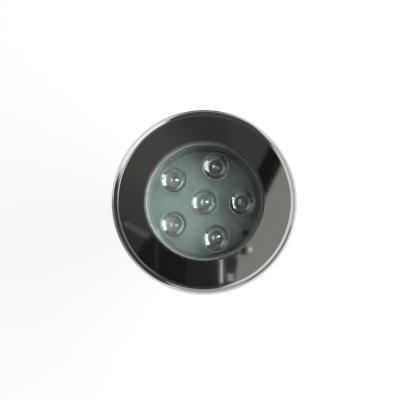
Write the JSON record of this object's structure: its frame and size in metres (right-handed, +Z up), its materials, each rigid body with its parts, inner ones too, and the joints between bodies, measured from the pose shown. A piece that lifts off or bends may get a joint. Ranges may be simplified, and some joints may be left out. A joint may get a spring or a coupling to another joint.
{
  "type": "fountain light",
  "caption": "Round submersible fountain light: wide polished steel bezel, thick glass over clear lenses, drawn steel can with a cable gland, on a tilting U bracket.",
  "frame": {"origin": "on the floor under the middle of the bracket's base", "axes": "+Z up out of the lamp face, X along the tilt axis, +X on the right of the pictured face"},
  "size_m": [0.15, 0.15, 0.118],
  "materials": {
    "polished_steel": "polished",
    "tempered_glass": "gloss",
    "silicone": "satin",
    "satin_steel": "satin",
    "fastener_steel": "satin",
    "nylon": "satin",
    "clear_cup": "gloss",
    "clear_lens": "gloss",
    "light_chip": "satin",
    "pale_board": "satin",
    "thermal_pad": "matte",
    "plain_aluminium": "satin",
    "green_board": "satin",
    "capacitor_sleeve": "satin",
    "ferrite": "matte",
    "chip_black": "matte",
    "terminal_green": "satin",
    "lead_white": "satin",
    "lead_grey": "satin",
    "black_rubber": "matte",
    "nickel_brass": "satin"
  },
  "bodies": {
    "bracket": {"bracket": "satin_steel"},
    "lamp": {"bezel": "polished_steel", "bezel_nuts": "fastener_steel", "bezel_studs": "fastener_steel", "bezel_washers": "fastener_steel", "can": "satin_steel", "carrier_plate": "plain_aluminium", "carrier_posts": "plain_aluminium", "driver_board": "green_board", "driver_capacitors": "capacitor_sleeve", "driver_diodes": "chip_black", "driver_inductor": "ferrite", "driver_regulator": "chip_black", "driver_screws": "fastener_steel", "driver_spacers": "nylon", "friction_washers": "nylon", "gland_body": "nickel_brass", "gland_cap": "nickel_brass", "gland_locknut": "nickel_brass", "gland_seal": "black_rubber", "gland_washer": "black_rubber", "glass": "tempered_glass", "glass_gasket": "silicone", "lead_grommet": "black_rubber", "lead_negative": "lead_grey", "lead_positive": "lead_white", "lens_1": "clear_lens", "lens_2": "clear_lens", "lens_3": "clear_lens", "lens_4": "clear_lens", "lens_5": "clear_lens", "lens_6": "clear_lens", "lens_cup_1": "clear_cup", "lens_cup_2": "clear_cup", "lens_cup_3": "clear_cup", "lens_cup_4": "clear_cup", "lens_cup_5": "clear_cup", "lens_cup_6": "clear_cup", "light_board": "pale_board", "light_chip_1": "light_chip", "light_chip_2": "light_chip", "light_chip_3": "light_chip", "light_chip_4": "light_chip", "light_chip_5": "light_chip", "light_chip_6": "light_chip", "mouth_ring": "satin_steel", "pivot_bolts": "fastener_steel", "pivot_bosses": "fastener_steel", "pivot_flat_washers": "fastener_steel", "pivot_spring_washers": "fastener_steel", "plate_screws": "fastener_steel", "reflector_cone": "pale_board", "supply_terminal": "terminal_green", "thermal_pad": "thermal_pad"}
  },
  "joints": [
    {"name": "tilt", "type": "hinge", "parent": "bracket", "child": "lamp", "pos_m": [0, 0, 0.082], "axis": [1, 0, 0], "range_deg": [-90, 90]}
  ]
}
